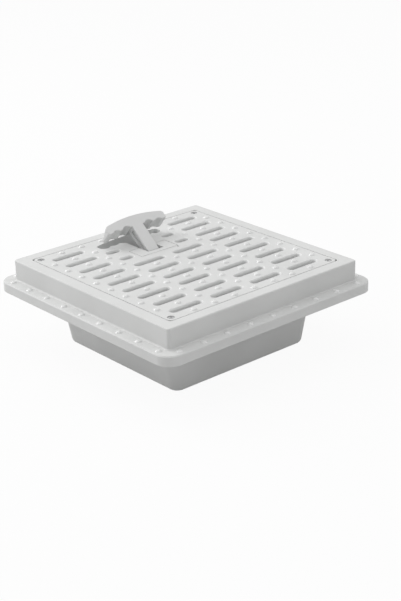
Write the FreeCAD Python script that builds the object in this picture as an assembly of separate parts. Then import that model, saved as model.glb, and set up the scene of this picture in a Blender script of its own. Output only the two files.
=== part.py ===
import FreeCAD, Part
import math
import os

V = FreeCAD.Vector

# Floor gully with a water seal, moulded in pale grey plastic.
# A square rim carries a slotted, non-slip grate. A flange round the rim beds in the screed,
# and a tapered sump hangs below it. A standpipe in the sump takes the drain pipe from below,
# and a bell stands over it to hold the water seal. A T-handle folds into the grate.
# Frame: origin at the middle of the flat floor, +Z up, the slots run along X,
# and the handle folds towards +Y. Millimetres.

# Body: rim, flange and sump
RIM_SIDE = 300.0
HEIGHT = 110.0
RIM_CORNER_R = 4.2
RIM_BEVEL = 1.0
RIM_FOOT_BEVEL = 1.4
FLANGE_REACH = 16.0
FLANGE_DROP = 25.8
FLANGE_EDGE = 12.6
FLANGE_CORNER_R = 19.5
FLANGE_BEVEL = 1.3
WALL = 3.5
FLOOR = 4.0
SUMP_TOP_SIDE = 236.4
SUMP_BOTTOM_SIDE = 210.8
SUMP_CORNER_R = 12.5
SUMP_CORNER_SIDES = 4
SUMP_FOOT_R = 6.0
SUMP_FOOT_STEPS = 2
RIM_LAND = 15.7
OPENING_CORNER_R = 4.0
RIB = 3.0
RIB_PITCH = 110.0
RIB_SETBACK = 1.5

# Outlet and water seal
PIPE_D = 90.0
PIPE_WALL = 3.0
SOCKET_CLEARANCE = 0.15
STANDPIPE_WALL = 3.3
THROAT_LENGTH = 19.0
BELL_FOOT_GAP = 8.0
BELL_WATERWAY = 14.5
BELL_WALL = 2.5
BELL_HEADROOM = 16.0
BELL_TO_GRATE = 6.5
BELL_FIN = 2.5
BELL_FIN_BITE = 10.0
BELL_FIN_INSET = 4.0
BELL_FIN_COUNT = 4
BELL_CLEARANCE = 0.4
GRIP_LENGTH = 44.0
GRIP_THICKNESS = 4.0
GRIP_HEIGHT = 9.0
GRIP_CORNER_R = 5.0
GRIP_HOLLOW_R = 12.0
GRIP_HOLLOW_DEPTH = 1.0
GRIP_HOLLOW_Z = 2.2

# Grate
GRATE_GAP = 0.9
GRATE_DEPTH = 20.0
GRATE_PLATE = 6.0
GRATE_SKIRT = 3.0
GRATE_CORNER_R = 6.5
GRATE_EDGE_CHAMFER = 0.6
GRATE_RIB_DEPTH = 6.0
SLOT_LENGTH = 45.0
SLOT_WIDTH = 8.2
SLOT_DRAFT = 1.4
SLOT_END_SIDES = 4
SLOT_COLUMN_PITCH = 62.0
SLOT_ROW_PITCH = 28.2
SLOT_MARGIN = 14.0
SLOT_SHORTEST = 12.0

# Non-slip pips on the grate and keying pips on the flange
PIP_R = 3.3
PIP_TOP_R = 1.9
PIP_HEIGHT = 1.5
PIP_SIDES = 5
PIP_MARGIN = 6.0
FLANGE_PIP_PITCH = 35.4
FLANGE_PIP_END = 22.0

# Corner screws
SCREW_INSET = 7.9
SCREW_D = 4.0
SCREW_HEAD_D = 8.4
SCREW_HEAD_SINK = 0.9
SCREW_HEAD_HEIGHT = 2.4
SCREW_LENGTH = 32.0
SCREW_PASS_GAP = 0.3
SCREW_BITE_GAP = 0.05
SCREW_BOSS_WALL = 2.6
SCREW_BOSS_BASE = 2.5

# T-handle, measured in its folded place
HANDLE_REST_ANGLE = 40.0
HANDLE_STOP_GAP = 0.3
PIN_D = 4.0
PIN_DEPTH = 9.0
PIN_TO_GRATE_EDGE = 70.1
PIN_RUNNING_GAP = 0.05
KNUCKLE_R = 6.5
STEM_WIDTH = 17.4
STEM_DEPTH = 12.5
STEM_GROOVE = 2.5
STEM_GROOVE_HEIGHT = 5.6
STEM_TOP_FLANGE = 3.2
STEM_GROOVE_START = 10.0
STEM_GROOVE_END = 37.0
HANDLE_REACH = 56.1
HANDLE_HALF = 46.8
HANDLE_RISE = 6.1
HANDLE_DEPTH = 20.0
HANDLE_UNDERCUT = 6.7
HANDLE_GRIP_WIDTH = 15.6
HANDLE_INNER_RISE = 2.0
HANDLE_WALL = 2.4
HANDLE_END_BEVEL = 2.0
HANDLE_BEVEL = 0.7
FINGER_R = 8.0
FINGER_INSET = 13.3
FINGER_PITCH = 16.0
FINGER_NEAR_BITE = 2.8
FINGER_FAR_BITE = 1.1

# Pocket in the grate that the handle folds into
POCKET_GAP = 0.8
POCKET_END_GAP = 2.1
POCKET_INNER_GAP = 1.0
POCKET_WALL = 2.5
POCKET_LIP = 0.5
LOBE_R = 8.0
LOBE_DEEP = 3.5
LOBE_SHALLOW = 2.0
LOBE_DEEP_X = 41.0
LOBE_SHALLOW_X = 27.0
CHANNEL_CORNER_R = 8.0
CHANNEL_GAP = 3.8
STOP_RIB_PLACE = 20.0

# Hinge cover and the bearings under it
COVER_HALF = 29.2
COVER_FRONT = 23.5
COVER_BACK = 8.7
COVER_THICKNESS = 3.0
COVER_FRONT_R = 8.0
COVER_BACK_R = 1.5
COVER_FIT = 0.4
COVER_STEP = 6.0
COVER_STEP_DEPTH = 0.5
COVER_HEEL_GAP = 0.9
BEARING_WIDTH = 8.4
BEARING_WALL = 3.4
SADDLE_GAP = 0.1
SNAP_LENGTH = 10.0
SNAP_THICKNESS = 2.0
SNAP_HOOK = 1.2
SNAP_DROP = 3.0
SNAP_CLEARANCE = 0.1
SNAP_INSET = 2.7
SNAP_PLACE = 7.0
KEEP_OUT = 6.1

# Levels and places that follow from the sizes above
RIM_HALF = RIM_SIDE / 2
FLANGE_HALF = RIM_HALF + FLANGE_REACH
FLANGE_TOP = HEIGHT - FLANGE_DROP
FLANGE_UNDERSIDE = FLANGE_TOP - FLANGE_EDGE
OPENING_HALF = RIM_HALF - RIM_LAND
LEDGE = HEIGHT - GRATE_DEPTH
SOCKET_R = PIPE_D / 2 + SOCKET_CLEARANCE
THROAT_R = PIPE_D / 2 - PIPE_WALL
STANDPIPE_R = SOCKET_R + STANDPIPE_WALL
GRATE_HALF = OPENING_HALF - GRATE_GAP
GRATE_UNDERSIDE = HEIGHT - GRATE_PLATE
SCREW_PLACE = GRATE_HALF - SCREW_INSET
SCREW_TOP = HEIGHT - SCREW_HEAD_SINK
SCREW_TIP = SCREW_TOP - SCREW_LENGTH
PIN_Y = GRATE_HALF - PIN_TO_GRATE_EDGE
PIN_Z = HEIGHT - PIN_DEPTH
BELL_TOP = GRATE_UNDERSIDE - GRATE_RIB_DEPTH - BELL_TO_GRATE - GRIP_HEIGHT
BELL_CEILING = BELL_TOP - BELL_WALL
BELL_FOOT = FLOOR + BELL_FOOT_GAP
STANDPIPE_TOP = BELL_CEILING - BELL_HEADROOM
SOCKET_DEPTH = STANDPIPE_TOP - THROAT_LENGTH
HANDLE_INNER_REACH = HANDLE_REACH - HANDLE_GRIP_WIDTH
CHANNEL_HALF = STEM_WIDTH / 2 + CHANNEL_GAP
POCKET_INNER_Y = PIN_Y + HANDLE_INNER_REACH - POCKET_INNER_GAP
POCKET_HALF = HANDLE_HALF + POCKET_END_GAP
COVER_FRONT_Y = PIN_Y - COVER_FRONT
COVER_BACK_Y = PIN_Y + COVER_BACK
COVER_SLOT_Y = PIN_Y - PIN_DEPTH - COVER_HEEL_GAP
SEAT_Z = HEIGHT - COVER_THICKNESS

# How far a cutting shape runs on past the faces that it opens
OVERRUN = 5.0


def rounded_wire(x0, x1, y0, y1, radius, z):
    """A rectangle with round corners, as lines and true arcs."""
    turn = radius * (1 - math.sqrt(0.5))
    corners = []
    corners.append((V(x1, y1 - radius, z), V(x1 - turn, y1 - turn, z), V(x1 - radius, y1, z)))
    corners.append((V(x0 + radius, y1, z), V(x0 + turn, y1 - turn, z), V(x0, y1 - radius, z)))
    corners.append((V(x0, y0 + radius, z), V(x0 + turn, y0 + turn, z), V(x0 + radius, y0, z)))
    corners.append((V(x1 - radius, y0, z), V(x1 - turn, y0 + turn, z), V(x1, y0 + radius, z)))
    edges = []
    for index, (start, middle, end) in enumerate(corners):
        edges.append(Part.Arc(start, middle, end).toShape())
        following = corners[(index + 1) % len(corners)][0]
        if (following - end).Length > 1e-6:
            edges.append(Part.LineSegment(end, following).toShape())
    return Part.Wire(edges)


def block(x0, x1, y0, y1, z0, z1, radius=0.0):
    """An upright block, with round upright corners where a radius is given."""
    if radius <= 0:
        return Part.makeBox(x1 - x0, y1 - y0, z1 - z0, V(x0, y0, z0))
    face = Part.Face(rounded_wire(x0, x1, y0, y1, radius, z0))
    return face.extrude(V(0, 0, z1 - z0))


def square_block(half, radius, z0, z1):
    return block(-half, half, -half, half, z0, z1, radius)


def post(x, y, half, z0, z1):
    return block(x - half, x + half, y - half, y + half, z0, z1)


def upright(radius, x, y, z0, z1):
    return Part.makeCylinder(radius, z1 - z0, V(x, y, z0))


def along_x(radius, half, y, z):
    return Part.makeCylinder(radius, 2 * half, V(-half, y, z), V(1, 0, 0))


def corner_points(half, core, z):
    """A square outline whose round corners turn about (core, core), kept to a few sides."""
    radius = half - core
    points = []
    for quarter in range(4):
        for side in range(SUMP_CORNER_SIDES + 1):
            angle = math.pi / 2 * side / SUMP_CORNER_SIDES
            x = core + radius * math.cos(angle)
            y = core + radius * math.sin(angle)
            for _ in range(quarter):
                x, y = -y, x
            points.append(V(x, y, z))
    return points


def prismatoid(low, high):
    """A solid between two like outlines whose matching sides are parallel."""
    faces = [Part.Face(Part.makePolygon(ring + ring[:1])) for ring in (low, high)]
    for index, start in enumerate(low):
        following = (index + 1) % len(low)
        quad = [start, low[following], high[following], high[index], start]
        faces.append(Part.Face(Part.makePolygon(quad)))
    solid = Part.makeSolid(Part.makeShell(faces))
    if solid.Volume < 0:
        solid.reverse()
    return solid


def flat_edges(shape, z, reach=None):
    """The edges of a shape that lie in the plane at height z, within reach of the axis."""
    found = []
    for edge in shape.Edges:
        box = edge.BoundBox
        level = abs(box.ZMin - z) < 1e-4 and abs(box.ZMax - z) < 1e-4
        furthest = max(-box.XMin, box.XMax, -box.YMin, box.YMax)
        if level and (reach is None or furthest < reach):
            found.append(edge)
    return found


def mirrored_x(shape):
    return shape.mirror(V(0, 0, 0), V(1, 0, 0))


def spread(count, pitch):
    """Places of a centred row of count things at a pitch."""
    return [(index - (count - 1) / 2) * pitch for index in range(count)]


def fitted(space, pitch):
    """How many places at a pitch fit in a space."""
    return max(1, int(space / pitch + 1e-6) + 1)


def ring(x, y, radius, sides, z):
    """The corners of a regular polygon round a point."""
    points = []
    for side in range(sides):
        angle = (side + 0.5) * 2 * math.pi / sides
        points.append(V(x + radius * math.cos(angle), y + radius * math.sin(angle), z))
    return points


def pip(x, y, z):
    """A small raised stud, kept to a few flat sides because there are so many."""
    low = ring(x, y, PIP_R, PIP_SIDES, z)
    return prismatoid(low, ring(x, y, PIP_TOP_R, PIP_SIDES, z + PIP_HEIGHT))


def sump_half(z):
    """Half the outer side of the sump at a height: it widens evenly to the flange."""
    slope = (SUMP_TOP_SIDE - SUMP_BOTTOM_SIDE) / 2 / FLANGE_UNDERSIDE
    return SUMP_BOTTOM_SIDE / 2 + slope * z


def sump_form(inset, z0, z1, foot_radius, foot_steps):
    """The tapered sump with a rounded foot, or its hollow when inset by the wall."""
    core = SUMP_BOTTOM_SIDE / 2 - SUMP_CORNER_R
    levels = []
    for step in range(foot_steps + 1):
        angle = math.pi / 2 * step / foot_steps
        z = z0 + foot_radius * (1 - math.cos(angle))
        levels.append((sump_half(z) - inset - foot_radius * (1 - math.sin(angle)), z))
    levels.append((sump_half(z1) - inset, z1))
    tiers = []
    for (half0, low), (half1, high) in zip(levels, levels[1:]):
        tiers.append(prismatoid(corner_points(half0, core, low), corner_points(half1, core, high)))
    return tiers[0].fuse(tiers[1:]).removeSplitter()


def body_outside():
    rim = square_block(RIM_HALF, RIM_CORNER_R, FLANGE_TOP - FLANGE_EDGE / 2, HEIGHT)
    rim = rim.makeChamfer(RIM_BEVEL, flat_edges(rim, HEIGHT))
    flange = square_block(FLANGE_HALF, FLANGE_CORNER_R, FLANGE_UNDERSIDE, FLANGE_TOP)
    flange = flange.makeChamfer(FLANGE_BEVEL, flat_edges(flange, FLANGE_TOP))
    top = rim.fuse(flange)
    top = top.makeChamfer(RIM_FOOT_BEVEL, flat_edges(top, FLANGE_TOP, RIM_HALF + 0.01))
    return top.fuse(sump_form(0, 0, LEDGE - WALL, SUMP_FOOT_R, SUMP_FOOT_STEPS))


def underside_hollow():
    """The space under the flange and rim that leaves one even wall all the way round."""
    under_flange = square_block(
        FLANGE_HALF - WALL, FLANGE_CORNER_R - WALL, FLANGE_UNDERSIDE - OVERRUN, FLANGE_TOP - WALL
    )
    inside_rim = square_block(
        RIM_HALF - WALL, RIM_CORNER_R / 2, FLANGE_UNDERSIDE - OVERRUN, HEIGHT - WALL
    )
    seat = square_block(OPENING_HALF + WALL, OPENING_CORNER_R + WALL, LEDGE - WALL, HEIGHT)
    hollow = under_flange.fuse(inside_rim)
    hollow = hollow.cut(seat)
    return hollow.cut(sump_form(0, 0, LEDGE - WALL, SUMP_FOOT_R, 1))


def underside_ribs(hollow):
    """Upright ribs that stiffen the flange, trimmed to the hollow that they stand in."""
    low = FLANGE_UNDERSIDE + RIB_SETBACK
    plates = []
    count = fitted(SUMP_BOTTOM_SIDE - RIB_PITCH / 2, RIB_PITCH)
    reach = 2 * FLANGE_HALF
    for place in spread(count, RIB_PITCH):
        plates.append(block(place - RIB / 2, place + RIB / 2, -reach, reach, low, HEIGHT))
        plates.append(block(-reach, reach, place - RIB / 2, place + RIB / 2, low, HEIGHT))
    for diagonal in (45, 135):
        plate = block(-reach, reach, -RIB / 2, RIB / 2, low, HEIGHT)
        plate.rotate(V(0, 0, 0), V(0, 0, 1), diagonal)
        plates.append(plate)
    return [hollow.common(plate) for plate in plates]


def corners():
    return [(x, y) for x in (-SCREW_PLACE, SCREW_PLACE) for y in (-SCREW_PLACE, SCREW_PLACE)]


def gully_body():
    """Rim, flange, sump and standpipe, moulded in one piece with an even wall."""
    hollow = underside_hollow()
    body = body_outside().cut(hollow)
    body = body.cut(square_block(OPENING_HALF, OPENING_CORNER_R, LEDGE, HEIGHT + OVERRUN))
    body = body.cut(sump_form(WALL, FLOOR, LEDGE + OVERRUN, SUMP_FOOT_R - WALL / 2, 1))
    additions = underside_ribs(hollow)
    additions.append(Part.makeCylinder(STANDPIPE_R, STANDPIPE_TOP))
    boss_r = SCREW_D / 2 + SCREW_BOSS_WALL
    boss_foot = SCREW_TIP - SCREW_BOSS_BASE
    boss_top = LEDGE - WALL / 2
    for x, y in corners():
        additions.append(post(x, y, boss_r, boss_foot, boss_top))
    body = body.fuse(additions)
    cuts = [Part.makeCylinder(THROAT_R, STANDPIPE_TOP + OVERRUN)]
    cuts.append(Part.makeCylinder(SOCKET_R, SOCKET_DEPTH))
    for x, y in corners():
        cuts.append(upright(SCREW_D / 2 + SCREW_BITE_GAP, x, y, SCREW_TIP - SCREW_BITE_GAP, HEIGHT))
    body = body.cut(cuts)
    return body.fuse(flange_pips()).removeSplitter()


def flange_pips():
    place = RIM_HALF + FLANGE_REACH / 2
    count = fitted(2 * (FLANGE_HALF - FLANGE_PIP_END), FLANGE_PIP_PITCH)
    pips = []
    for along in spread(count, FLANGE_PIP_PITCH):
        for side in (-place, place):
            pips.append(pip(along, side, FLANGE_TOP))
            pips.append(pip(side, along, FLANGE_TOP))
    return pips


def arc_radius(half, rise):
    """The radius of an arc that falls away by the rise over its half width."""
    return (half ** 2 + rise ** 2) / (2 * rise)


def pocket_form(z0, z1):
    """The hollow that the folded handle drops into, with finger lobes and a stem channel."""
    arc = arc_radius(HANDLE_HALF, HANDLE_RISE)
    bar = block(-POCKET_HALF, POCKET_HALF, POCKET_INNER_Y, GRATE_HALF, z0, z1)
    bar = bar.common(upright(arc + POCKET_GAP, 0, PIN_Y + HANDLE_REACH - arc, z0, z1))
    shapes = []
    trim = block(-POCKET_HALF, POCKET_HALF, PIN_Y, POCKET_INNER_Y + LOBE_R, z0, z1)
    for x, depth in ((LOBE_DEEP_X, LOBE_DEEP), (LOBE_SHALLOW_X, LOBE_SHALLOW)):
        for side in (-x, x):
            lobe = upright(LOBE_R, side, POCKET_INNER_Y - depth + LOBE_R, z0, z1)
            shapes.append(lobe.common(trim))
    far = POCKET_INNER_Y + OVERRUN
    shapes.append(block(-CHANNEL_HALF, CHANNEL_HALF, COVER_SLOT_Y, far, z0, z1))
    web_x = CHANNEL_HALF + CHANNEL_CORNER_R
    web_y = POCKET_INNER_Y - CHANNEL_CORNER_R
    web = block(CHANNEL_HALF, web_x, web_y, far, z0, z1)
    web = web.cut(upright(CHANNEL_CORNER_R, web_x, web_y, z0, z1))
    shapes.extend([web, mirrored_x(web)])
    return bar.fuse(shapes).removeSplitter()


def pocket_wall(z0, z1):
    """The wall round the pocket under the plate, filled: the pocket is then cut out of it."""
    arc = arc_radius(HANDLE_HALF, HANDLE_RISE)
    outer = arc + POCKET_GAP + POCKET_WALL
    half = POCKET_HALF + POCKET_WALL
    bar = block(-half, half, POCKET_INNER_Y - LOBE_DEEP - POCKET_WALL, GRATE_HALF, z0, z1)
    bar = bar.common(upright(outer, 0, PIN_Y + HANDLE_REACH - arc, z0, z1))
    half = CHANNEL_HALF + POCKET_WALL
    channel = block(-half, half, COVER_SLOT_Y - POCKET_WALL, POCKET_INNER_Y, z0, z1)
    return bar.fuse(channel).removeSplitter()


def keep_out_half(y):
    """Half the width across the handle's parts at y, which slots and pips stay clear of."""
    pocket_start = POCKET_INNER_Y - LOBE_DEEP - POCKET_WALL
    pocket_end = PIN_Y + HANDLE_REACH + POCKET_GAP + POCKET_WALL
    if pocket_start <= y <= pocket_end:
        return POCKET_HALF + KEEP_OUT
    if COVER_FRONT_Y - KEEP_OUT < y < pocket_start:
        return COVER_HALF + KEEP_OUT
    return 0.0


def slot_spans():
    """Each slot as (left end, right end, row), cut short beside the handle's parts."""
    columns = fitted(2 * (GRATE_HALF - SLOT_MARGIN) - SLOT_LENGTH, SLOT_COLUMN_PITCH)
    rows = fitted(2 * (GRATE_HALF - SLOT_MARGIN) - SLOT_WIDTH, SLOT_ROW_PITCH)
    spans = []
    for y in spread(rows, SLOT_ROW_PITCH):
        keep = keep_out_half(y)
        for x in spread(columns, SLOT_COLUMN_PITCH):
            left = x - SLOT_LENGTH / 2
            right = x + SLOT_LENGTH / 2
            if keep and right > -keep and left < keep:
                if x < 0:
                    right = min(right, -keep)
                else:
                    left = max(left, keep)
            if right - left >= SLOT_SHORTEST:
                spans.append((left, right, y))
    return spans


def slot_outline(x0, x1, y, half, z):
    """A slot's outline, its round ends kept to a few sides because there are so many."""
    points = []
    for centre, start in ((x1 - half, -math.pi / 2), (x0 + half, math.pi / 2)):
        for side in range(SLOT_END_SIDES + 1):
            angle = start + math.pi * side / SLOT_END_SIDES
            points.append(V(centre + half * math.cos(angle), y + half * math.sin(angle), z))
    return points


def slot_cutters():
    """The slots: their walls are drafted, so each is widest at the top."""
    cutters = []
    half = SLOT_WIDTH / 2
    for x0, x1, y in slot_spans():
        low = slot_outline(x0, x1, y, half, GRATE_UNDERSIDE)
        high = slot_outline(x0 - SLOT_DRAFT, x1 + SLOT_DRAFT, y, half + SLOT_DRAFT, HEIGHT)
        cutters.append(prismatoid(low, high))
    return cutters


def grate_pips():
    """A stud between each two rows of slots, in line with the slots' middles and ends."""
    columns = fitted(2 * (GRATE_HALF - PIP_MARGIN), SLOT_COLUMN_PITCH / 2)
    rows = fitted(2 * (GRATE_HALF - PIP_MARGIN), SLOT_ROW_PITCH)
    pips = []
    for y in spread(rows, SLOT_ROW_PITCH):
        for x in spread(columns, SLOT_COLUMN_PITCH / 2):
            at_screw = math.hypot(abs(x) - SCREW_PLACE, abs(y) - SCREW_PLACE) < SCREW_HEAD_D
            if abs(x) >= keep_out_half(y) and not at_screw:
                pips.append(pip(x, y, HEIGHT))
    return pips


def grate_ribs():
    """Ribs under the plate, one between each two rows of slots."""
    low = GRATE_UNDERSIDE - GRATE_RIB_DEPTH
    reach = GRATE_HALF - GRATE_SKIRT / 2
    ribs = []
    rows = fitted(2 * reach - SLOT_ROW_PITCH, SLOT_ROW_PITCH)
    rows = rows - rows % 2  # an even number, so that no rib crosses the middle row of slots
    for y in spread(rows, SLOT_ROW_PITCH):
        ribs.append(block(-reach, reach, y - RIB / 2, y + RIB / 2, low, GRATE_UNDERSIDE))
    return ribs


def bearing_blocks():
    """The two blocks under the cover that carry the pin's ends."""
    half = PIN_D / 2 + PIN_RUNNING_GAP + BEARING_WALL
    x1 = pin_half() + POCKET_WALL / 2
    right = block(CHANNEL_HALF, x1, PIN_Y - half, PIN_Y + half, PIN_Z - half, SEAT_Z)
    return [right, mirrored_x(right)]


def pin_half():
    return CHANNEL_HALF + BEARING_WIDTH


def pin_slot():
    """The round-bottomed slot, open at the top, that the pin is laid in."""
    radius = PIN_D / 2 + PIN_RUNNING_GAP
    half = pin_half() + PIN_RUNNING_GAP
    slot = block(-half, half, PIN_Y - radius, PIN_Y + radius, PIN_Z, HEIGHT)
    return slot.fuse(along_x(radius, half, PIN_Y, PIN_Z))


def cover_plan(grow, z0, z1):
    """The hinge cover's outline as a block, or its recess in the grate when grown."""
    x = COVER_HALF + grow
    y0 = COVER_FRONT_Y - grow
    y1 = COVER_BACK_Y + grow
    plan = block(-x, x, y0, y1, z0, z1)
    front = [e for e in plan.Edges if is_upright(e) and e.BoundBox.YMax < PIN_Y]
    plan = plan.makeFillet(COVER_FRONT_R + grow, front)
    back = [e for e in plan.Edges if is_upright(e) and e.BoundBox.YMin > y1 - 0.01]
    return plan.makeFillet(COVER_BACK_R + grow, back)


def is_upright(edge):
    box = edge.BoundBox
    return box.XLength < 1e-4 and box.YLength < 1e-4


def snap_windows():
    """The openings in the plate that the cover's snap legs push through."""
    x0 = COVER_HALF - SNAP_INSET - SNAP_THICKNESS - SNAP_CLEARANCE
    x1 = COVER_HALF - SNAP_INSET + SNAP_HOOK + SNAP_CLEARANCE
    y0 = COVER_FRONT_Y + SNAP_PLACE - SNAP_CLEARANCE
    y1 = y0 + SNAP_LENGTH + 2 * SNAP_CLEARANCE
    window = block(x0, x1, y0, y1, GRATE_UNDERSIDE - GRATE_RIB_DEPTH - OVERRUN, HEIGHT)
    return [window, mirrored_x(window)]


def grate():
    """The slotted plate with its skirt and ribs, the handle's pocket and the hinge bearings."""
    plate = square_block(GRATE_HALF, GRATE_CORNER_R, LEDGE, HEIGHT)
    plate = plate.makeChamfer(GRATE_EDGE_CHAMFER, flat_edges(plate, HEIGHT))
    inside = GRATE_HALF - GRATE_SKIRT
    plate = plate.cut(square_block(inside, GRATE_CORNER_R - GRATE_SKIRT, LEDGE, GRATE_UNDERSIDE))
    foot = LEDGE + POCKET_LIP
    additions = grate_ribs()
    additions.append(pocket_wall(foot, GRATE_UNDERSIDE))
    additions.extend(bearing_blocks())
    boss_r = SCREW_D / 2 + SCREW_PASS_GAP + SCREW_BOSS_WALL
    for x, y in corners():
        additions.append(post(x, y, boss_r, LEDGE, GRATE_UNDERSIDE))
    plate = plate.fuse(additions)
    cuts = slot_cutters()
    cuts.append(pocket_form(LEDGE - OVERRUN, HEIGHT + OVERRUN))
    cuts.append(cover_plan(COVER_FIT, SEAT_Z, HEIGHT + OVERRUN))
    cuts.append(pin_slot())
    cuts.extend(snap_windows())
    head_r = SCREW_HEAD_D / 2 + SCREW_PASS_GAP
    head_seat = SCREW_TOP - SCREW_HEAD_HEIGHT
    for x, y in corners():
        cuts.append(upright(SCREW_D / 2 + SCREW_PASS_GAP, x, y, LEDGE - OVERRUN, HEIGHT))
        cuts.append(upright(head_r, x, y, head_seat, HEIGHT + OVERRUN))
    plate = plate.cut(cuts)
    plate = plate.fuse(stop_rib())
    return plate.fuse(grate_pips()).removeSplitter()


def stop_rib():
    """The bridge across the channel that the folded handle's stem comes down to."""
    y0 = PIN_Y + STOP_RIB_PLACE
    top = HEIGHT - STEM_DEPTH - HANDLE_STOP_GAP
    x = CHANNEL_HALF + POCKET_WALL / 2
    return block(-x, x, y0, y0 + RIB, LEDGE + POCKET_LIP, top)


def grate_screw(x, y):
    """A flat-headed screw that holds one corner of the grate down on the ledge."""
    seat = SCREW_TOP - SCREW_HEAD_HEIGHT
    shank = upright(SCREW_D / 2, x, y, SCREW_TIP, seat)
    return shank.fuse(upright(SCREW_HEAD_D / 2, x, y, seat, SCREW_TOP))


def crossbar_form(inset, z0, z1):
    """The curved grip of the T-handle, or its hollow when inset by the wall."""
    arc = arc_radius(HANDLE_HALF, HANDLE_RISE)
    outer_r = arc - inset
    undercut = HANDLE_UNDERCUT * (z1 - z0) / HANDLE_DEPTH
    centre = V(0, PIN_Y + HANDLE_REACH - arc, z0)
    outer = Part.makeCone(outer_r - undercut, outer_r, z1 - z0, centre)
    half = HANDLE_HALF - inset
    bar = block(-half, half, PIN_Y, PIN_Y + HANDLE_REACH + OVERRUN, z0, z1)
    bar = bar.common(outer)
    inner = arc_radius(HANDLE_HALF, HANDLE_INNER_RISE)
    cuts = [upright(inner + inset, 0, PIN_Y + HANDLE_INNER_REACH - inner, z0, z1)]
    far = HANDLE_HALF - FINGER_INSET
    for x, bite in ((far - FINGER_PITCH, FINGER_NEAR_BITE), (far, FINGER_FAR_BITE)):
        for side in (-x, x):
            y = PIN_Y + HANDLE_INNER_REACH + bite - FINGER_R
            cuts.append(upright(FINGER_R + inset, side, y, z0, z1))
    return bar.cut(cuts).removeSplitter()


def end_bevels(z0, z1):
    """Wedges that bevel the grip's end corners; the outer ones lean with its undercut side."""
    bevel = HANDLE_END_BEVEL
    inner_y = PIN_Y + HANDLE_INNER_REACH - HANDLE_INNER_RISE
    outer_y = PIN_Y + HANDLE_REACH - HANDLE_RISE - HANDLE_UNDERCUT
    wedges = []
    for y, out, lean in ((inner_y, -1, 0), (outer_y, 1, HANDLE_UNDERCUT)):
        corner = V(HANDLE_HALF + bevel, y + out * bevel, z0)
        along = V(HANDLE_HALF - 2 * bevel, y + out * bevel, z0)
        down = V(HANDLE_HALF + bevel, y - out * 2 * bevel, z0)
        wedge = Part.Face(Part.makePolygon([corner, along, down, corner]))
        wedge = wedge.extrude(V(0, lean, z1 - z0))
        wedges.extend([wedge, mirrored_x(wedge)])
    return wedges


def handle():
    """The T-handle: a grooved stem on a knuckle, and a hollow grip with finger scallops."""
    foot = HEIGHT - HANDLE_DEPTH
    grip = crossbar_form(0, foot, HEIGHT)
    grip = grip.cut(end_bevels(foot, HEIGHT))
    grip = grip.cut(crossbar_form(HANDLE_WALL, foot, HEIGHT - HANDLE_WALL))
    half = STEM_WIDTH / 2
    stem_end = PIN_Y + HANDLE_INNER_REACH + HANDLE_WALL / 2
    stem = block(-half, half, PIN_Y, stem_end, HEIGHT - STEM_DEPTH, HEIGHT)
    knuckle = along_x(KNUCKLE_R, half, PIN_Y, PIN_Z)
    shape = grip.fuse([stem, knuckle])
    z1 = HEIGHT - STEM_TOP_FLANGE
    z0 = z1 - STEM_GROOVE_HEIGHT
    y0 = PIN_Y + STEM_GROOVE_START
    y1 = PIN_Y + STEM_GROOVE_END
    groove = block(half - STEM_GROOVE, half + OVERRUN, y0, y1, z0, z1)
    bore = along_x(PIN_D / 2 + PIN_RUNNING_GAP, STEM_WIDTH, PIN_Y, PIN_Z)
    shape = shape.cut([groove, mirrored_x(groove), bore]).removeSplitter()
    shape = shape.makeChamfer(HANDLE_BEVEL, flat_edges(shape, HEIGHT))
    shape.rotate(V(0, PIN_Y, PIN_Z), V(1, 0, 0), HANDLE_REST_ANGLE)
    return shape


def hinge_pin():
    return along_x(PIN_D / 2, pin_half(), PIN_Y, PIN_Z)


def hinge_cover():
    """The snap-in plate over the hinge, with a slot for the stem and saddles over the pin."""
    cover = cover_plan(0, SEAT_Z, HEIGHT)
    back = COVER_BACK_Y + OVERRUN
    cover = cover.cut(block(-CHANNEL_HALF, CHANNEL_HALF, COVER_SLOT_Y, back, SEAT_Z, HEIGHT))
    step_z = HEIGHT - COVER_STEP_DEPTH
    step_y = COVER_FRONT_Y + COVER_STEP
    cover = cover.cut(block(-COVER_HALF, COVER_HALF, COVER_FRONT_Y - OVERRUN, step_y, step_z, HEIGHT))
    rooted = SEAT_Z + COVER_THICKNESS / 2
    saddle_x = pin_half() - SADDLE_GAP
    saddle_y = PIN_D / 2 - SADDLE_GAP
    saddle_z = PIN_Z + PIN_D / 2 + SADDLE_GAP
    saddle = block(CHANNEL_HALF, saddle_x, PIN_Y - saddle_y, PIN_Y + saddle_y, saddle_z, rooted)
    leg = snap_leg(rooted)
    return cover.fuse([saddle, mirrored_x(saddle), leg, mirrored_x(leg)]).removeSplitter()


def snap_leg(top):
    """The right-hand leg under the cover, whose hook catches under the grate's plate."""
    x1 = COVER_HALF - SNAP_INSET
    x0 = x1 - SNAP_THICKNESS
    y = COVER_FRONT_Y + SNAP_PLACE
    hook_top = GRATE_UNDERSIDE - SNAP_CLEARANCE
    tip = hook_top - SNAP_DROP
    profile = [V(x0, y, top), V(x1, y, top), V(x1, y, hook_top)]
    profile.extend([V(x1 + SNAP_HOOK, y, hook_top), V(x1, y, tip), V(x0, y, tip)])
    return Part.Face(Part.makePolygon(profile + profile[:1])).extrude(V(0, SNAP_LENGTH, 0))


def revolved(points):
    """A solid turned about Z from (radius, height) points, in order round its section."""
    section = [V(r, 0, z) for r, z in points]
    return Part.Face(Part.makePolygon(section + section[:1])).revolve(V(0, 0, 0), V(0, 0, 1), 360)


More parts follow.
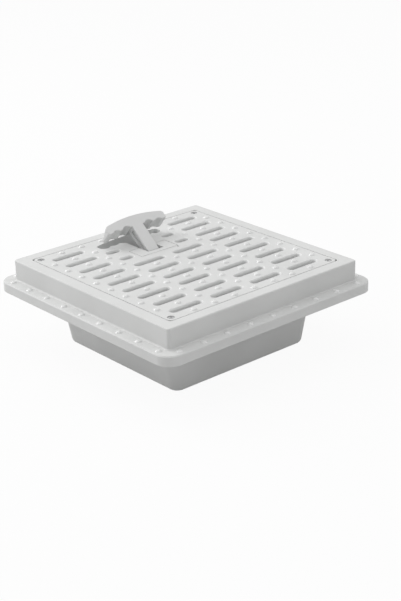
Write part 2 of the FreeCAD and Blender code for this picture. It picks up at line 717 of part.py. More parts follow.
def siphon_bell():
    """The bell over the standpipe: its fins stand on the pipe's rim and keep it centred."""
    mouth = STANDPIPE_R + BELL_WATERWAY
    outer = mouth + BELL_WALL
    outside = [(0, BELL_TOP), (outer, BELL_TOP), (outer, BELL_FOOT)]
    inside = [(mouth, BELL_FOOT), (mouth, BELL_CEILING), (0, BELL_CEILING)]
    bell = revolved(outside + inside)
    fins = []
    for index in range(BELL_FIN_COUNT):
        fin = bell_fin(mouth)
        fin.rotate(V(0, 0, 0), V(0, 0, 1), (index + 0.5) * 360 / BELL_FIN_COUNT)
        fins.append(fin)
    return bell.fuse(fins + [bell_grip()]).removeSplitter()


def bell_fin(mouth):
    """A fin inside the bell, notched to sit over the standpipe's rim."""
    inner = THROAT_R - BELL_FIN_INSET
    guide = STANDPIPE_R + BELL_CLEARANCE
    notch = STANDPIPE_TOP - BELL_FIN_BITE
    rooted = BELL_WALL / 2
    section = [(inner, BELL_CEILING + rooted), (inner, STANDPIPE_TOP), (guide, STANDPIPE_TOP)]
    section.extend([(guide, notch), (mouth + rooted, notch), (mouth + rooted, BELL_CEILING - rooted)])
    section.append((mouth - rooted, BELL_CEILING + rooted))
    points = [V(r, -BELL_FIN / 2, z) for r, z in section]
    return Part.Face(Part.makePolygon(points + points[:1])).extrude(V(0, BELL_FIN, 0))


def bell_grip():
    """A pinch grip across the top of the bell."""
    half = GRIP_LENGTH / 2
    y = GRIP_THICKNESS / 2
    grip_top = BELL_TOP + GRIP_HEIGHT
    grip = block(-half, half, -y, y, BELL_TOP - BELL_WALL / 2, grip_top)
    ends = [e for e in flat_edges(grip, grip_top) if e.BoundBox.XLength < 1e-4]
    grip = grip.makeFillet(GRIP_CORNER_R, ends)
    hollow_y = y + GRIP_HOLLOW_R - GRIP_HOLLOW_DEPTH
    hollow_z = BELL_TOP + GRIP_HOLLOW_Z
    near = upright(GRIP_HOLLOW_R, 0, -hollow_y, hollow_z, grip_top)
    far = upright(GRIP_HOLLOW_R, 0, hollow_y, hollow_z, grip_top)
    return grip.cut([near, far])


def save(name, shape):
    shape.exportStep(os.path.join("parts", name + ".step"))
    print(name, shape.isValid(), len(shape.Solids), round(shape.Volume / 1000, 2), "cm3")


def main():
    os.makedirs("parts", exist_ok=True)
    save("gully_body", gully_body())
    save("grate", grate())
    save("handle", handle())
    save("hinge_pin", hinge_pin())
    save("hinge_cover", hinge_cover())
    save("siphon_bell", siphon_bell())
    for x, y in corners():
        end = "front" if y < 0 else "back"
        side = "left" if x < 0 else "right"
        save("grate_screw_" + end + "_" + side, grate_screw(x, y))


main()
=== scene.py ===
import math

import bmesh
import bpy
import numpy as np
from mathutils import Matrix, Vector
from mathutils.geometry import delaunay_2d_cdt


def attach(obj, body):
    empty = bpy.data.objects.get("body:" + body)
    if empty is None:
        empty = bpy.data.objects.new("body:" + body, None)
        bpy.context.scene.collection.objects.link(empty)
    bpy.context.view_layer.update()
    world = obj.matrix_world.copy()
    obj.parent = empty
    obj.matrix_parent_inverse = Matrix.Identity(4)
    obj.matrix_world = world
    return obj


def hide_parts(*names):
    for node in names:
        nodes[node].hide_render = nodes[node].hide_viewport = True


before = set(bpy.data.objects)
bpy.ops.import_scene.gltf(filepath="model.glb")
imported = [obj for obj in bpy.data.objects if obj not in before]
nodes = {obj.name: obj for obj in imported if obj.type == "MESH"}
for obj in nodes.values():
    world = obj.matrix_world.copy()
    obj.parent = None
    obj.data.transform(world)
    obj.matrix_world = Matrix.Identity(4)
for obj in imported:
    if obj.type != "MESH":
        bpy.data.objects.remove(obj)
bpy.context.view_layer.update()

# A millimetre in the scene's metres
MM = 0.001

# Sizes in millimetres, the same as in the model's source
HEIGHT = 110.0
RIM_HALF = 150.0
RIM_LAND = 15.7
FLANGE_REACH = 16.0
FLANGE_DROP = 25.8
FLANGE_EDGE = 12.6
FLANGE_STUD_PITCH = 35.4
FLANGE_STUDS = 9
WALL = 3.5
SUMP_TOP_HALF = 118.2
SUMP_FOOT_HALF = 105.4
SUMP_CORNER_R = 12.5
SUMP_FOOT_R = 6.0
GRATE_GAP = 0.9
GRATE_DEPTH = 20.0
GRATE_PLATE = 6.0
GRATE_CORNER_R = 6.5
GRATE_EDGE_CHAMFER = 0.6
SLOT_LENGTH = 45.0
SLOT_WIDTH = 8.2
SLOT_COLUMNS = 4
SLOT_COLUMN_PITCH = 62.0
SLOT_ROWS = 9
SLOT_ROW_PITCH = 28.2
SLOT_SHORTEST = 12.0
SCREW_INSET = 7.9
SCREW_R = 2.0
SCREW_HEAD_R = 4.2
SCREW_HEAD_SINK = 0.9
SCREW_HEAD_HEIGHT = 2.4
SCREW_LENGTH = 32.0
PIN_TO_GRATE_EDGE = 70.1
HANDLE_REACH = 56.1
HANDLE_HALF = 46.8
HANDLE_GRIP_WIDTH = 15.6
POCKET_GAP = 0.8
POCKET_END_GAP = 2.1
POCKET_INNER_GAP = 1.0
POCKET_WALL = 2.5
LOBE_R = 8.0
LOBE_DEPTH = 3.5
LOBE_X = 41.0
COVER_HALF = 29.2
COVER_FRONT = 23.5
KEEP_OUT = 6.1

# Places that follow from those sizes
OPENING_HALF = RIM_HALF - RIM_LAND
GRATE_HALF = OPENING_HALF - GRATE_GAP
GRATE_UNDERSIDE = HEIGHT - GRATE_PLATE
FLANGE_TOP = HEIGHT - FLANGE_DROP
FLANGE_UNDERSIDE = FLANGE_TOP - FLANGE_EDGE
FLANGE_STUD_PLACE = RIM_HALF + FLANGE_REACH / 2
SUMP_SLOPE = (SUMP_TOP_HALF - SUMP_FOOT_HALF) / FLANGE_UNDERSIDE
SUMP_CORE = SUMP_FOOT_HALF - SUMP_CORNER_R
SUMP_SKIN_TOP = HEIGHT - GRATE_DEPTH - WALL
SCREW_PLACE = GRATE_HALF - SCREW_INSET
SCREW_TOP = HEIGHT - SCREW_HEAD_SINK
SCREW_SEAT = SCREW_TOP - SCREW_HEAD_HEIGHT
SCREW_TIP = SCREW_TOP - SCREW_LENGTH
PIN_Y = GRATE_HALF - PIN_TO_GRATE_EDGE
POCKET_HALF = HANDLE_HALF + POCKET_END_GAP
POCKET_NEAR_Y = PIN_Y + HANDLE_REACH - HANDLE_GRIP_WIDTH - POCKET_INNER_GAP
POCKET_START = POCKET_NEAR_Y - LOBE_DEPTH - POCKET_WALL
POCKET_END = PIN_Y + HANDLE_REACH + POCKET_GAP + POCKET_WALL
LOBE_Y = POCKET_NEAR_Y - LOBE_DEPTH + LOBE_R
COVER_START = PIN_Y - COVER_FRONT - KEEP_OUT

# Details that the scene adds to the model's shapes, in millimetres and degrees
LIP_WIDTH = 2.2
LIP_DEPTH = 4.6
STUD_R = 4.1
STUD_HEIGHT = 2.2
FLANGE_STUD_R = 4.2
FLANGE_STUD_HEIGHT = 1.9
EDGE_GAP = 0.95
COVER_TRIM = 0.4
COVER_EDGE_R = 0.35
HANDLE_EDGE_R = 0.5
SCREW_EDGE_R = 0.4
SCREW_POINT = 3.0
SCREW_TIP_R = 0.3
CROSS_ARM = 2.4
CROSS_HALF_WIDTH = 0.5
CROSS_DEPTH = 1.3
CROSS_FLOOR_ARM = 0.55 * CROSS_ARM
CROSS_FLOOR_HALF_WIDTH = 0.8 * CROSS_HALF_WIDTH

# The pocket's far side slopes down towards its ends. So the arcs there turn through less than a
# quarter, and their centres are lifted a little.
POCKET_END_R = 4.0
POCKET_END_TURN = 75
POCKET_END_LIFT = 0.6
POCKET_WALL_FOOT = 97.0

# A stud's outline from its foot to its top, as shares of its radius and of its height
STUD_PROFILE = (
    (1.0, 0.0),
    (0.94, 0.16),
    (0.84, 0.44),
    (0.69, 0.71),
    (0.5, 0.89),
    (0.25, 0.98),
    (0.1, 1.0),
)

# How finely curves are divided
ARC_STEPS = 6
ROUND_END_STEPS = 12
SCREW_EDGE_STEPS = 3
STUD_SIDES = 14
SCREW_SIDES = 40
FLOOR_SIDES = 96

# How closely the model's faces are matched, in millimetres. Its sump has few-sided corners,
# which lie a little inside a true arc.
WELD_DISTANCE = 0.002
HEIGHT_TOLERANCE = 0.01
SKIN_TOLERANCE = 0.05
PLACE_TOLERANCE = 0.1
CORNER_TOLERANCE = 0.6
POCKET_TOLERANCE = 1.0

# Edges that turn by less than the smooth angle, in degrees, are smooth. A soft copy has an angle
# of its own: its sharper edges are rounded, and those below the flat angle are taken out.
SMOOTH_ANGLE = 32.0
SOFT_COPY_ANGLE = 30.0
FLAT_ANGLE = 1.0

# A face whose normal's height is below this looks straight down
FACING_DOWN = -0.99

# The plain plastic's darkest and lightest shade
PLASTIC_GREY = ((0.662, 0.666, 0.660), (0.697, 0.701, 0.695))

# Camera: where the photograph was taken from, found from the rim's and flange's corners
CAMERA_AZIMUTH = -40.51
CAMERA_ELEVATION = 22.64
CAMERA_ROLL = -1.57
CAMERA_PLACE = (-1.01343, -1.21602, 0.71547)
CAMERA_LENS = 82.38
CAMERA_SENSOR = 36.0

# The studio, in metres. Levels of 1 are plain white.
LAMP_AIM = (0, 0, 0.1)
SKY_LEVEL = 0.49
WHITE = (1, 1, 1, 1)
FLOOR_GREY = (0.72, 0.72, 0.72, 1.0)
FLOOR_WHITE_SHARE = 0.94
FLOOR_RADIUS = 6.0
FLOOR_DROP = 0.0002


def material(name):
    """A new node material with its nodes, links and principled shader."""
    made = bpy.data.materials.new(name)
    made.use_nodes = True
    tree = made.node_tree
    return made, tree.nodes, tree.links, tree.nodes["Principled BSDF"]


def noise(tree, links, scale, detail, roughness):
    """A noise pattern that is fixed to the piece. Its scale is counted to a metre."""
    where = tree.new("ShaderNodeTexCoord")
    pattern = tree.new("ShaderNodeTexNoise")
    pattern.inputs["Scale"].default_value = scale
    pattern.inputs["Detail"].default_value = detail
    pattern.inputs["Roughness"].default_value = roughness
    links.new(where.outputs["Object"], pattern.inputs["Vector"])
    return pattern.outputs["Fac"]


def shades(tree, links, pattern, low, high, start=0.0, end=1.0):
    """Colours between two shades, following a pattern."""
    ramp = tree.new("ShaderNodeValToRGB")
    first, last = ramp.color_ramp.elements
    first.position = start
    first.color = (*low, 1.0)
    last.position = end
    last.color = (*high, 1.0)
    links.new(pattern, ramp.inputs["Fac"])
    return ramp.outputs["Color"]


def relief(tree, links, pattern, strength, depth):
    """A fine relief that follows a pattern."""
    bump = tree.new("ShaderNodeBump")
    bump.inputs["Strength"].default_value = strength
    bump.inputs["Distance"].default_value = depth
    links.new(pattern, bump.inputs["Height"])
    return bump


def moulded(name, low, high, roughness, edge, grain=0.06, shine=0.4):
    """Moulded plastic: a slow drift of shade, a fine grain and soft edges."""
    made, tree, links, shader = material(name)
    drift = noise(tree, links, scale=14.0, detail=3.0, roughness=0.5)
    colour = shades(tree, links, drift, low, high, start=0.35, end=0.65)
    links.new(colour, shader.inputs["Base Color"])
    patches = noise(tree, links, scale=60.0, detail=2.0, roughness=0.5)
    gloss = tree.new("ShaderNodeMapRange")
    gloss.inputs["To Min"].default_value = roughness - 0.05
    gloss.inputs["To Max"].default_value = roughness + 0.07
    links.new(patches, gloss.inputs["Value"])
    links.new(gloss.outputs["Result"], shader.inputs["Roughness"])
    soft_edge = tree.new("ShaderNodeBevel")
    soft_edge.samples = 6
    soft_edge.inputs["Radius"].default_value = edge * MM
    fine = noise(tree, links, scale=1400.0, detail=2.0, roughness=0.6)
    bump = relief(tree, links, fine, strength=grain, depth=0.2 * MM)
    links.new(soft_edge.outputs["Normal"], bump.inputs["Normal"])
    links.new(bump.outputs["Normal"], shader.inputs["Normal"])
    shader.inputs["IOR"].default_value = 1.46
    shader.inputs["Specular IOR Level"].default_value = shine
    return made


def steel(name, low, high, roughness):
    """Plain stainless: brushed streaks and a soft, dull shine."""
    made, tree, links, shader = material(name)
    streaks = noise(tree, links, scale=900.0, detail=3.0, roughness=0.6)
    links.new(shades(tree, links, streaks, low, high), shader.inputs["Base Color"])
    bump = relief(tree, links, streaks, strength=0.08, depth=0.1 * MM)
    links.new(bump.outputs["Normal"], shader.inputs["Normal"])
    shader.inputs["Metallic"].default_value = 1.0
    shader.inputs["Roughness"].default_value = roughness
    return made


BODY = moulded("body_grey", *PLASTIC_GREY, roughness=0.52, edge=0.5)
GRATE = moulded("grate_grey", *PLASTIC_GREY, roughness=0.52, edge=0.5)
HANDLE = moulded("handle_grey", (0.690, 0.693, 0.690), (0.725, 0.728, 0.725), roughness=0.42, edge=0.5)
BELL = moulded("bell_grey", (0.57, 0.573, 0.57), (0.61, 0.613, 0.61), roughness=0.5, edge=0.5)
# The slot lips and walls and the handle's pocket walls are the plate's plastic, painted lighter: painted
# fill light against the shade deep in those hollows
PAINTED_LIGHT_WALL = moulded("slot_wall_grey_painted_lighter", (0.745, 0.75, 0.745), (0.785, 0.79, 0.785), roughness=0.32, edge=0.3)
# Studs: the plate's plastic painted lighter, as a painted highlight on the domes; their low roughness and
# strong shine give real reflections of the lamps
PAINTED_LIGHT_STUD = moulded(
    "stud_grey_painted_lighter", (0.72, 0.725, 0.72), (0.755, 0.76, 0.755), roughness=0.22, edge=0.1, grain=0.03, shine=0.9
)
PIN = steel("pin_steel", (0.42, 0.42, 0.43), (0.56, 0.56, 0.57), roughness=0.3)
SCREW = steel("screw_steel", (0.46, 0.46, 0.465), (0.58, 0.58, 0.585), roughness=0.42)


def dress(name, finish):
    """Gives a model part its finish."""
    obj = nodes[name]
    if not obj.material_slots:
        obj.data.materials.append(finish)
    for place in obj.material_slots:
        place.link = "OBJECT"
        place.material = finish


def cad_form(name):
    """A copy of a model part's mesh in millimetres, with its touching corners joined."""
    form = bmesh.new()
    form.from_mesh(nodes[name].data)
    bmesh.ops.scale(form, vec=(1 / MM, 1 / MM, 1 / MM), verts=form.verts)
    bmesh.ops.remove_doubles(form, verts=form.verts, dist=WELD_DISTANCE)
    form.normal_update()
    return form


def smooth_mesh(name, form, finishes, smooth_angle):
    """Turns a form in millimetres into a mesh in metres, smooth but for its sharp edges."""
    bmesh.ops.scale(form, vec=(MM, MM, MM), verts=form.verts)
    form.normal_update()
    for face in form.faces:
        face.smooth = True
    for edge in form.edges:
        edge.smooth = edge.is_manifold and edge.calc_face_angle() < math.radians(smooth_angle)
    mesh = bpy.data.meshes.new(name)
    form.to_mesh(mesh)
    form.free()
    imported = mesh.attributes.get("custom_normal")
    if imported:
        mesh.attributes.remove(imported)
    for finish in finishes:
        mesh.materials.append(finish)
    return mesh


def round_edges(made, radius, sharp_angle):
    """Rounds the edges of a piece that turn by more than an angle."""
    edges = made.modifiers.new("soft edges", "BEVEL")
    edges.width = radius * MM
    edges.segments = 3
    edges.limit_method = "ANGLE"
    edges.angle_limit = math.radians(sharp_angle)
    edges.harden_normals = True


def finish_piece(name, form, finishes, body, replaced, smooth_angle=SMOOTH_ANGLE, edge_radius=0.0):
    """Turns a form into a piece that rides on a body and stands in for model parts."""
    made = bpy.data.objects.new(name, smooth_mesh(name, form, finishes, smooth_angle))
    bpy.context.scene.collection.objects.link(made)
    if edge_radius:
        round_edges(made, edge_radius, smooth_angle)
    flats = made.modifiers.new("flat faces stay flat", "WEIGHTED_NORMAL")
    flats.keep_sharp = True
    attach(made, body)
    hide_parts(*replaced)


def spread(count, pitch):
    """Places of a centred row of count things at a pitch."""
    return [(index - (count - 1) / 2) * pitch for index in range(count)]


def arc_angles(start, end, steps):
    """Angles in radians from start to end, which are in degrees, in equal steps."""
    return [math.radians(start + (end - start) * step / steps) for step in range(steps + 1)]


def circle(x, y, radius, z, sides):
    """A level circle's corners."""
    turn = 2 * math.pi / sides
    return [(x + radius * math.cos(i * turn), y + radius * math.sin(i * turn), z) for i in range(sides)]


def in_all_quarters(points):
    """Repeats a quarter of an outline three times, each a quarter turn further."""
    outline = []
    for _ in range(4):
        outline.extend(points)
        points = [(-y, x) for x, y in points]
    return outline


def add_rings(form, rings, finish_index=0, close=False):
    """Skins a run of like outlines and returns the first one's corners."""
    rows = [[form.verts.new(point) for point in ring] for ring in rings]
    for low, high in zip(rows, rows[1:]):
        for i in range(len(low)):
            j = (i + 1) % len(low)
            face = form.faces.new((low[i], low[j], high[j], high[i]))
            face.material_index = finish_index
    if close:
        form.faces.new(rows[-1]).material_index = finish_index
    return rows[0]


def loop_pairs(corners):
    """The pairs of neighbours round a closed outline."""
    return list(zip(corners, corners[1:] + corners[:1]))


def enclosed(points, lines):
    """Which points lie inside an odd number of outlines, by the lines to the right of each."""
    x, y = points[:, :1], points[:, 1:]
    ax, ay = lines[:, 0, 0], lines[:, 0, 1]
    bx, by = lines[:, 1, 0], lines[:, 1, 1]
    at_this_level = (ay > y) != (by > y)
    rise = np.where(by == ay, 1.0, by - ay)
    to_the_right = x < ax + (y - ay) * (bx - ax) / rise
    return (at_this_level & to_the_right).sum(axis=1) % 2 == 1


def fill_flat(form, pairs):
    """Fills the flat area inside the outer outline, leaving out what inner outlines enclose."""
    corners = list(dict.fromkeys(corner for pair in pairs for corner in pair))
    index = {corner: place for place, corner in enumerate(corners)}
    flat = [corner.co.xy for corner in corners]
    links = [(index[a], index[b]) for a, b in pairs]
    keep_inside = 1
    join_distance = 1e-5
    places, _, faces, origins, _, _ = delaunay_2d_cdt(flat, links, [], keep_inside, join_distance)
    middles = [sum((places[i] for i in face), Vector((0, 0))) / len(face) for face in faces]
    lines = [(flat[a], flat[b]) for a, b in links]
    for face, keep in zip(faces, enclosed(np.array(middles), np.array(lines))):
        if keep:
            form.faces.new([corners[origins[i][0]] for i in face])


def stud(form, x, y, z, radius, height, finish_index):
    """A moulded stud with a soft foot and a nearly flat top. Returns its foot's corners."""
    rings = [circle(x, y, radius * across, z + height * up, STUD_SIDES) for across, up in STUD_PROFILE]
    return add_rings(form, rings, finish_index, close=True)


def keep_out_half(y):
    """Half the width across the handle's parts at y, which slots and studs stay clear of."""
    if POCKET_START <= y <= POCKET_END:
        return POCKET_HALF + KEEP_OUT
    if COVER_START <= y < POCKET_START:
        return COVER_HALF + KEEP_OUT
    return 0.0


def slot_spans():
    """Each slot as (left end, right end, row), cut short beside the handle's parts."""
    spans = []
    for y in spread(SLOT_ROWS, SLOT_ROW_PITCH):
        keep = keep_out_half(y)
        for x in spread(SLOT_COLUMNS, SLOT_COLUMN_PITCH):
            left = x - SLOT_LENGTH / 2
            right = x + SLOT_LENGTH / 2
            if keep and x < 0:
                right = min(right, -keep)
            elif keep:
                left = max(left, keep)
            if right - left >= SLOT_SHORTEST:
                spans.append((left, right, y))
    return spans


def slot_outline(span, grow, z):
    """A slot's outline with round ends, grown outwards."""
    left, right, y = span
    half = SLOT_WIDTH / 2
    points = []
    for centre, start in ((right - half, -90), (left + half, 90)):
        for angle in arc_angles(start, start + 180, ROUND_END_STEPS):
            dx = (half + grow) * math.cos(angle)
            dy = (half + grow) * math.sin(angle)
            points.append((centre + dx, y + dy, z))
    return points


def slot_rings(span):
    """A slot's outlines from its rounded lip down to the plate's underside."""
    rings = []
    for angle in arc_angles(0, 90, ARC_STEPS):
        grow = LIP_WIDTH * (1 - math.sin(angle))
        rings.append(slot_outline(span, grow, HEIGHT - LIP_DEPTH * (1 - math.cos(angle))))
    rings.append(slot_outline(span, 0.0, GRATE_UNDERSIDE))
    return rings


def grate_stud_places():
    """A stud between each two rows of slots, clear of the handle's parts and the screws."""
    places = []
    for y in spread(SLOT_ROWS + 1, SLOT_ROW_PITCH):
        for x in spread(2 * SLOT_COLUMNS + 1, SLOT_COLUMN_PITCH / 2):
            to_screw = math.hypot(abs(x) - SCREW_PLACE, abs(y) - SCREW_PLACE)
            if abs(x) >= keep_out_half(y) and to_screw >= 2 * SCREW_HEAD_R:
                places.append((x, y))
    return places


def on_top(corner):
    """Whether a corner lies on the grate's top face."""
    return corner.co.z > HEIGHT - HEIGHT_TOLERANCE


def is_slot_wall(face, spans):
    """Whether a face of the model's grate is the wall of a slot."""
    lowest = min(corner.co.z for corner in face.verts)
    if lowest < GRATE_UNDERSIDE - HEIGHT_TOLERANCE or not any(on_top(v) for v in face.verts):
        return False
    middle = face.calc_center_median()
    reach = SLOT_WIDTH / 2 + LIP_WIDTH + PLACE_TOLERANCE
    for left, right, y in spans:
        if abs(middle.y - y) < reach and left - LIP_WIDTH < middle.x < right + LIP_WIDTH:
            return True
    return False


def in_pocket(face):
    """Whether a face belongs to the walls of the handle's pocket."""
    middle = face.calc_center_median()
    across = abs(middle.x) < POCKET_HALF + PLACE_TOLERANCE
    return across and POCKET_START - POCKET_TOLERANCE < middle.y < POCKET_END


def sharpen_rim(form):
    """Brings the grate's top edge out to a crisp, narrow gap inside the body's rim."""
    core = GRATE_HALF - GRATE_CORNER_R
    edge_r = GRATE_CORNER_R - GRATE_EDGE_CHAMFER
    out = OPENING_HALF - EDGE_GAP - (GRATE_HALF - GRATE_EDGE_CHAMFER)
    for corner in form.verts:
        place = corner.co
        across = Vector((max(abs(place.x) - core, 0), max(abs(place.y) - core, 0)))
        if on_top(corner) and across.length > edge_r - PLACE_TOLERANCE:
            across.normalize()
            place.x += math.copysign(across.x * out, place.x)
            place.y += math.copysign(across.y * out, place.y)


def is_at(corner, place):
    """Whether a corner lies at a place across the plate."""
    return (corner.co.xy - place).length < PLACE_TOLERANCE


def round_off(form, pairs, sharp, centre, radius, start, end, side):
    """Swaps a sharp corner of the pocket's outline for an arc with a wall below it.

    The places and angles are those at the right. A side of -1 mirrors them to the left.
    """
    sharp = Vector((side * sharp.x, sharp.y))
    centre = Vector((side * centre.x, centre.y))
    meeting = [pair for pair in pairs if any(is_at(v, sharp) for v in pair)]
    ends = [v for pair in meeting for v in pair if not is_at(v, sharp)]
    if len(meeting) != 2 or len(ends) != 2:
        raise RuntimeError("no single corner at " + str(tuple(sharp)))
    places = []
    for angle in arc_angles(start, end, ARC_STEPS):
        places.append(centre + radius * Vector((side * math.cos(angle), math.sin(angle))))
    if (places[0] - ends[0].co.xy).length > (places[-1] - ends[0].co.xy).length:
        places.reverse()
    top = [form.verts.new((*place, HEIGHT)) for place in places]
    low = [form.verts.new((*place, POCKET_WALL_FOOT)) for place in places]
    for pair in meeting:
        pairs.remove(pair)
    run = [ends[0]] + top + [ends[1]]
    pairs.extend(zip(run, run[1:]))
    for i in range(len(top) - 1):
        face = form.faces.new((top[i], top[i + 1], low[i + 1], low[i]))
        face.normal_update()
        if face.normal.xy.dot(centre - face.calc_center_median().xy) < 0:
            face.normal_flip()


def round_pocket_ends(form, pairs):
    """The handle's pocket has round ends: the near corners follow the finger lobes."""
    lobe = Vector((LOBE_X, LOBE_Y))
    near = Vector((POCKET_HALF, POCKET_NEAR_Y))
    near_start = math.degrees(math.asin((POCKET_NEAR_Y - LOBE_Y) / LOBE_R))
    near_end = -math.degrees(math.acos((POCKET_HALF - LOBE_X) / LOBE_R))
    at_end = [v for pair in pairs for v in pair if abs(v.co.x - POCKET_HALF) < SKIN_TOLERANCE]
    far = Vector((POCKET_HALF, max(v.co.y for v in at_end)))
    far_centre = far - Vector((POCKET_END_R, POCKET_END_R - POCKET_END_LIFT))
    for side in (1, -1):
        round_off(form, pairs, near, lobe, LOBE_R, near_start, near_end, side)
        round_off(form, pairs, far, far_centre, POCKET_END_R, 0, POCKET_END_TURN, side)


def detailed_grate():
    """The grate with rounded slot lips and domed studs. The rest is the model's own mesh."""
    finishes = [GRATE, PAINTED_LIGHT_WALL, PAINTED_LIGHT_STUD]
    # Slot and pocket walls take the finish that is painted lighter, as painted fill light in the hollows
    wall = finishes.index(PAINTED_LIGHT_WALL)
    form = cad_form("grate")
    spans = slot_spans()
    doomed = [f for f in form.faces if all(on_top(v) for v in f.verts) or is_slot_wall(f, spans)]
    bmesh.ops.delete(form, geom=doomed, context="FACES")
    # The handle's pocket walls are painted lighter, against the shade under the handle
    for face in form.faces:
        if in_pocket(face):
            face.material_index = wall
    sharpen_rim(form)
    borders = [edge for edge in form.edges if edge.is_boundary]
    pairs = [tuple(edge.verts) for edge in borders if all(on_top(v) for v in edge.verts)]
    for span in spans:
        pairs.extend(loop_pairs(add_rings(form, slot_rings(span), wall)))
    # The grate's studs take the finish that is painted lighter, as a painted highlight
    for x, y in grate_stud_places():
        foot = stud(form, x, y, HEIGHT, STUD_R, STUD_HEIGHT, finishes.index(PAINTED_LIGHT_STUD))
        pairs.extend(loop_pairs(foot))
    round_pocket_ends(form, pairs)
    fill_flat(form, pairs)
    finish_piece("grate_detailed", form, finishes, "gully", ["grate"])


def sump_half(z):
    """Half the sump's width at a height: it widens upwards and turns in at its round foot."""
    half = SUMP_FOOT_HALF + SUMP_SLOPE * z
    if z < SUMP_FOOT_R:
        half -= SUMP_FOOT_R * (1 - math.sin(math.acos(1 - z / SUMP_FOOT_R)))
    return half


def sump_outline(z):
    """The sump's outer outline at a height, with truly round corners."""
    radius = sump_half(z) - SUMP_CORE
    quarter = []
    for angle in arc_angles(0, 90, ROUND_END_STEPS):
        quarter.append((SUMP_CORE + radius * math.cos(angle), SUMP_CORE + radius * math.sin(angle)))
    return [(x, y, z) for x, y in in_all_quarters(quarter)]


def on_sump_skin(corner):
    """Whether a corner of the model's mesh lies on the sump's outer skin."""
    x, y, z = abs(corner.co.x), abs(corner.co.y), corner.co.z
    if z > SUMP_SKIN_TOP + HEIGHT_TOLERANCE:
        return False
    half = sump_half(max(z, 0.0))
    if min(x, y) <= SUMP_CORE:
        return abs(max(x, y) - half) < SKIN_TOLERANCE
    return abs(math.hypot(x - SUMP_CORE, y - SUMP_CORE) - (half - SUMP_CORE)) < CORNER_TOLERANCE


def is_sump_side(face):
    """Whether a face is part of the sump's outer skin but not its flat underside."""
    return face.normal.z > FACING_DOWN and all(on_sump_skin(corner) for corner in face.verts)


def flange_stud_places():
    """A row of studs along each side of the flange."""
    places = []
    for along in spread(FLANGE_STUDS, FLANGE_STUD_PITCH):
        for side in (-FLANGE_STUD_PLACE, FLANGE_STUD_PLACE):
            places.extend(((along, side), (side, along)))
    return places


def detailed_body():
    """The body with a truly round sump and domed keying studs on the flange."""
    finishes = [BODY, PAINTED_LIGHT_STUD]
    form = cad_form("gully_body")
    doomed = [face for face in form.faces if is_sump_side(face)]
    bmesh.ops.delete(form, geom=doomed, context="FACES")
    levels = [SUMP_FOOT_R * (1 - math.cos(angle)) for angle in arc_angles(0, 90, ARC_STEPS)]
    levels.append(SUMP_SKIN_TOP)
    add_rings(form, [sump_outline(z) for z in levels])
    # The flange's studs take the same finish, painted lighter as a painted highlight
    for x, y in flange_stud_places():
        stud(form, x, y, FLANGE_TOP, FLANGE_STUD_R, FLANGE_STUD_HEIGHT, finishes.index(PAINTED_LIGHT_STUD))
    finish_piece("gully_body_detailed", form, finishes, "gully", ["gully_body"])


def soft_copy(name, finish, body, edge_radius, trim=0.0):
    """A model part with its edges truly rounded, and its sides drawn in where a gap shows."""
    form = cad_form(name)
    xs = [v.co.x for v in form.verts]
    ys = [v.co.y for v in form.verts]
    middle = Vector(((min(xs) + max(xs)) / 2, (min(ys) + max(ys)) / 2, 0.0))
    shrink = (1 - 2 * trim / (max(xs) - min(xs)), 1 - 2 * trim / (max(ys) - min(ys)), 1.0)
    bmesh.ops.scale(form, vec=shrink, space=Matrix.Translation(-middle), verts=form.verts)
    bmesh.ops.dissolve_limit(
        form,
        angle_limit=math.radians(FLAT_ANGLE),
        verts=form.verts,
        edges=form.edges,
        delimit={"NORMAL"},
    )
    finish_piece(name + "_soft", form, [finish], body, [name], SOFT_COPY_ANGLE, edge_radius)


def cross_outline(x, y, arm, half_width, z):
    """The outline of a cross with square ends."""
    quarter = [(half_width, half_width), (half_width, arm), (-half_width, arm)]
    return [(x + across, y + along, z) for across, along in in_all_quarters(quarter)]


def screw(name, x, y):
    """A flat-headed screw with a rounded edge and a cross recess."""
    form = bmesh.new()
    profile = []
    for angle in arc_angles(0, 90, SCREW_EDGE_STEPS):
        radius = SCREW_HEAD_R - SCREW_EDGE_R * (1 - math.sin(angle))
        profile.append((radius, SCREW_TOP - SCREW_EDGE_R * (1 - math.cos(angle))))
    profile.append((SCREW_HEAD_R, SCREW_SEAT))
    profile.append((SCREW_R, SCREW_SEAT))
    profile.append((SCREW_R, SCREW_TIP + SCREW_POINT))
    profile.append((SCREW_TIP_R, SCREW_TIP))
    rings = [circle(x, y, radius, z, SCREW_SIDES) for radius, z in profile]
    pairs = loop_pairs(add_rings(form, rings, close=True))
    recess = [
        cross_outline(x, y, CROSS_ARM, CROSS_HALF_WIDTH, SCREW_TOP),
        cross_outline(x, y, CROSS_FLOOR_ARM, CROSS_FLOOR_HALF_WIDTH, SCREW_TOP - CROSS_DEPTH),
    ]
    pairs.extend(loop_pairs(add_rings(form, recess, close=True)))
    fill_flat(form, pairs)
    bmesh.ops.recalc_face_normals(form, faces=form.faces)
    finish_piece(name + "_cross", form, [SCREW], "gully", [name])


def screws():
    """A screw in each corner of the grate."""
    for x, side in ((-SCREW_PLACE, "left"), (SCREW_PLACE, "right")):
        for y, end in ((-SCREW_PLACE, "front"), (SCREW_PLACE, "back")):
            screw("grate_screw_" + end + "_" + side, x, y)


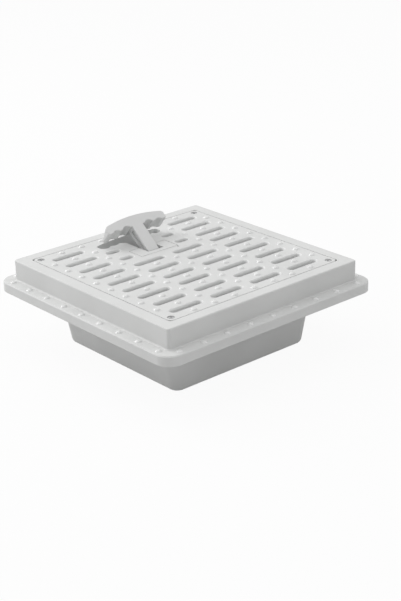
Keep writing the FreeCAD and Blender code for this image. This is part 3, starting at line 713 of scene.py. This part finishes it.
def camera():
    """The photograph's viewpoint."""
    az, el, roll = (math.radians(v) for v in (CAMERA_AZIMUTH, CAMERA_ELEVATION, CAMERA_ROLL))
    back = Vector((math.sin(az) * math.cos(el), -math.cos(az) * math.cos(el), math.sin(el)))
    level_right = Vector((0, 0, 1)).cross(back).normalized()
    level_up = back.cross(level_right)
    right = math.cos(roll) * level_right + math.sin(roll) * level_up
    up = -math.sin(roll) * level_right + math.cos(roll) * level_up
    data = bpy.data.cameras.new("camera")
    data.lens = CAMERA_LENS
    data.sensor_width = CAMERA_SENSOR
    data.clip_start = 0.05
    data.clip_end = 60.0
    made = bpy.data.objects.new("camera", data)
    bpy.context.scene.collection.objects.link(made)
    turn = Matrix((right, up, back)).transposed().to_4x4()
    made.matrix_world = Matrix.Translation(CAMERA_PLACE) @ turn
    bpy.context.scene.camera = made


def seen_rays(tree, links):
    """One for rays that show a surface directly, in a reflection or through glass."""
    path = tree.new("ShaderNodeLightPath")
    first = tree.new("ShaderNodeMath")
    first.operation = "MAXIMUM"
    links.new(path.outputs["Is Camera Ray"], first.inputs[0])
    links.new(path.outputs["Is Glossy Ray"], first.inputs[1])
    both = tree.new("ShaderNodeMath")
    both.operation = "MAXIMUM"
    links.new(first.outputs["Value"], both.inputs[0])
    links.new(path.outputs["Is Transmission Ray"], both.inputs[1])
    return both.outputs["Value"]


def floor_finish():
    """Pale grey that is seen as plain white, darker only where a shadow lies."""
    made, tree, links, shader = material("floor_white")
    shader.inputs["Base Color"].default_value = FLOOR_GREY
    shader.inputs["Roughness"].default_value = 0.9
    white = tree.new("ShaderNodeEmission")
    white.inputs["Color"].default_value = WHITE
    white.inputs["Strength"].default_value = 1.0
    share = tree.new("ShaderNodeMath")
    share.operation = "MULTIPLY"
    share.inputs[1].default_value = FLOOR_WHITE_SHARE
    links.new(seen_rays(tree, links), share.inputs[0])
    mix = tree.new("ShaderNodeMixShader")
    links.new(share.outputs["Value"], mix.inputs["Fac"])
    links.new(shader.outputs["BSDF"], mix.inputs[1])
    links.new(white.outputs["Emission"], mix.inputs[2])
    links.new(mix.outputs["Shader"], tree["Material Output"].inputs["Surface"])
    return made


def floor():
    """A wide round floor just under the object."""
    mesh = bpy.data.meshes.new("floor")
    form = bmesh.new()
    bmesh.ops.create_circle(form, cap_ends=True, segments=FLOOR_SIDES, radius=FLOOR_RADIUS)
    form.to_mesh(mesh)
    form.free()
    mesh.materials.append(floor_finish())
    made_floor = bpy.data.objects.new("floor", mesh)
    made_floor.location.z = -FLOOR_DROP
    bpy.context.scene.collection.objects.link(made_floor)


def lamp(name, place, size, power):
    """A square soft box that faces the object."""
    data = bpy.data.lights.new(name, "AREA")
    data.energy = power
    data.shape = "SQUARE"
    data.size = size
    made = bpy.data.objects.new(name, data)
    made.location = place
    made.rotation_euler = (Vector(LAMP_AIM) - Vector(place)).to_track_quat("-Z", "Y").to_euler()
    bpy.context.scene.collection.objects.link(made)


def surroundings():
    """An even pale studio all round, seen as plain white."""
    world = bpy.data.worlds.new("world")
    bpy.context.scene.world = world
    world.use_nodes = True
    tree = world.node_tree.nodes
    links = world.node_tree.links
    sky = tree["Background"]
    sky.inputs["Color"].default_value = WHITE
    sky.inputs["Strength"].default_value = SKY_LEVEL
    seen = tree.new("ShaderNodeBackground")
    seen.inputs["Color"].default_value = WHITE
    seen.inputs["Strength"].default_value = 1.0
    mix = tree.new("ShaderNodeMixShader")
    links.new(seen_rays(tree, links), mix.inputs["Fac"])
    links.new(sky.outputs["Background"], mix.inputs[1])
    links.new(seen.outputs["Background"], mix.inputs[2])
    links.new(mix.outputs["Shader"], tree["World Output"].inputs["Surface"])


detailed_grate()
detailed_body()
soft_copy("hinge_cover", GRATE, "gully", COVER_EDGE_R, COVER_TRIM)
soft_copy("handle", HANDLE, "handle", HANDLE_EDGE_R)
dress("siphon_bell", BELL)
dress("hinge_pin", PIN)
screws()

camera()
floor()
lamp("key", place=(-1.0, 1.9, 1.5), size=1.8, power=34.0)
lamp("top", place=(0.1, 0.1, 3.0), size=3.0, power=28.0)
lamp("side", place=(1.3, -1.6, 1.7), size=1.0, power=4.5)
surroundings()
bpy.context.scene.view_settings.view_transform = "Standard"
